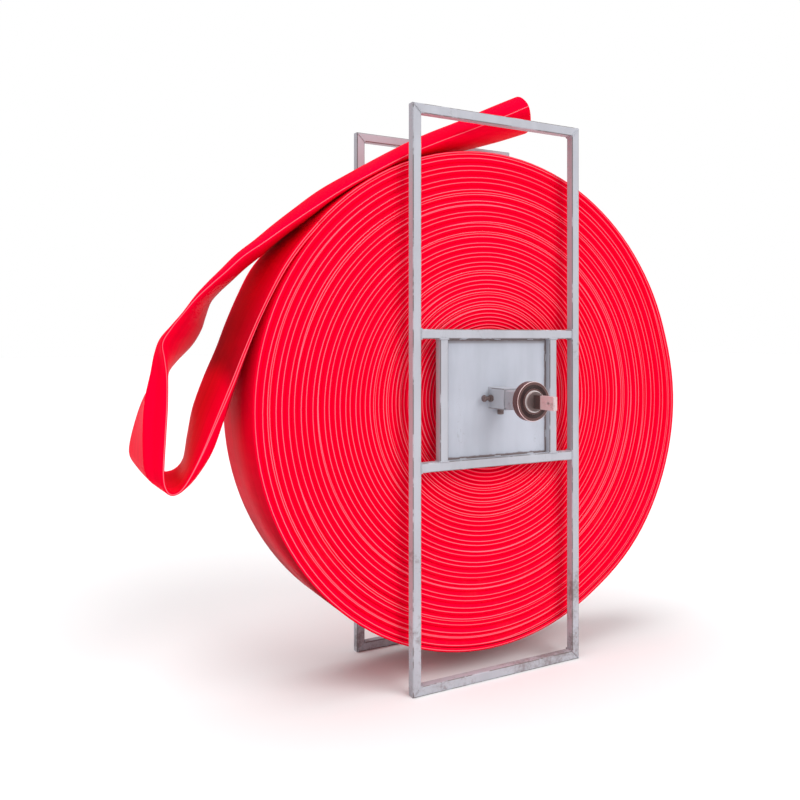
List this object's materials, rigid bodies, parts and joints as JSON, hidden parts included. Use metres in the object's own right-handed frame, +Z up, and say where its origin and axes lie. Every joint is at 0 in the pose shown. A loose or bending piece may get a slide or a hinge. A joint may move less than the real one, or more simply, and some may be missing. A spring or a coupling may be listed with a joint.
{
  "type": "rolled fire hose",
  "caption": "Wide red lay-flat fire hose rolled in a flat spiral on a square axle, held on edge between welded tube frames, with a bearing and a drive tongue at each axle end.",
  "frame": {"origin": "on the floor, under the middle of the axle", "axes": "+X to the right across the frames, +Y along the axle from the front end to the back end, +Z up"},
  "size_m": [1.2604, 0.648, 1.2562],
  "materials": {
    "hose_red": "glossy polyurethane cover over a woven jacket",
    "frame_paint": "pale grey paint, scuffed and lightly rusted",
    "axle_steel": "mill steel, paint worn off",
    "bearing_steel": "ground steel",
    "spring_steel": "oiled spring steel",
    "seal_rubber": "dusty matt rubber",
    "plated_steel": "dull zinc plate",
    "core_steel": "pale grey paint"
  },
  "bodies": {
    "reel": {"axle": "axle_steel", "front_drive_tongue": "axle_steel", "back_drive_tongue": "axle_steel", "front_retaining_ring": "spring_steel", "back_retaining_ring": "spring_steel", "front_bearing_inner_ring": "bearing_steel", "back_bearing_inner_ring": "bearing_steel", "core_drum": "core_steel", "core_front_disc": "core_steel", "core_back_disc": "core_steel", "hose_anchor_bar": "core_steel", "hose_anchor_bolts": "plated_steel", "hose_anchor_nuts": "plated_steel", "hose_roll": "hose_red", "hose_tail": "hose_red"},
    "front_frame": {"front_left_upright": "frame_paint", "front_right_upright": "frame_paint", "front_top_rail": "frame_paint", "front_bottom_rail": "frame_paint", "front_upper_crossbar": "frame_paint", "front_lower_crossbar": "frame_paint", "front_left_strut": "frame_paint", "front_right_strut": "frame_paint", "front_panel": "frame_paint", "front_collar": "frame_paint", "front_collar_nuts": "plated_steel"},
    "front_side_screw": {"front_side_set_screw": "plated_steel"},
    "front_bottom_screw": {"front_bottom_set_screw": "plated_steel"},
    "front_bearing_housing_ring": {"front_bearing_outer_ring": "bearing_steel", "front_bearing_outer_seal": "seal_rubber", "front_bearing_inner_seal": "seal_rubber"},
    "front_ball_set": {"front_bearing_cage": "bearing_steel", "front_bearing_balls": "bearing_steel"},
    "back_frame": {"back_left_upright": "frame_paint", "back_right_upright": "frame_paint", "back_top_rail": "frame_paint", "back_bottom_rail": "frame_paint", "back_upper_crossbar": "frame_paint", "back_lower_crossbar": "frame_paint", "back_left_strut": "frame_paint", "back_right_strut": "frame_paint", "back_panel": "frame_paint", "back_collar": "frame_paint", "back_collar_nuts": "plated_steel"},
    "back_side_screw": {"back_side_set_screw": "plated_steel"},
    "back_bottom_screw": {"back_bottom_set_screw": "plated_steel"},
    "back_bearing_housing_ring": {"back_bearing_outer_ring": "bearing_steel", "back_bearing_outer_seal": "seal_rubber", "back_bearing_inner_seal": "seal_rubber"},
    "back_ball_set": {"back_bearing_cage": "bearing_steel", "back_bearing_balls": "bearing_steel"}
  },
  "joints": [
    {"name": "front_frame_slide", "type": "slide", "parent": "reel", "child": "front_frame", "axis": [0, -1, 0], "range_m": [0, 0.05]},
    {"name": "front_side_screw_back_out", "type": "slide", "parent": "front_frame", "child": "front_side_screw", "axis": [-1, 0, 0], "range_m": [0, 0.008]},
    {"name": "front_bottom_screw_back_out", "type": "slide", "parent": "front_frame", "child": "front_bottom_screw", "axis": [0, 0, -1], "range_m": [0, 0.008]},
    {"name": "front_bearing_turn", "type": "hinge", "parent": "reel", "child": "front_bearing_housing_ring", "pos_m": [0, -0.247, 0.597], "axis": [0, 1, 0], "continuous": true},
    {"name": "front_balls_turn", "type": "hinge", "parent": "reel", "child": "front_ball_set", "pos_m": [0, -0.247, 0.597], "axis": [0, 1, 0], "continuous": true},
    {"name": "back_frame_slide", "type": "slide", "parent": "reel", "child": "back_frame", "axis": [0, 1, 0], "range_m": [0, 0.05]},
    {"name": "back_side_screw_back_out", "type": "slide", "parent": "back_frame", "child": "back_side_screw", "axis": [1, 0, 0], "range_m": [0, 0.008]},
    {"name": "back_bottom_screw_back_out", "type": "slide", "parent": "back_frame", "child": "back_bottom_screw", "axis": [0, 0, -1], "range_m": [0, 0.008]},
    {"name": "back_bearing_turn", "type": "hinge", "parent": "reel", "child": "back_bearing_housing_ring", "pos_m": [0, 0.247, 0.597], "axis": [0, 1, 0], "continuous": true},
    {"name": "back_balls_turn", "type": "hinge", "parent": "reel", "child": "back_ball_set", "pos_m": [0, 0.247, 0.597], "axis": [0, 1, 0], "continuous": true}
  ],
  "couplings": [
    {"joint": "front_balls_turn", "follows": "front_bearing_turn", "ratio": 0.5958},
    {"joint": "back_balls_turn", "follows": "back_bearing_turn", "ratio": 0.5958}
  ]
}
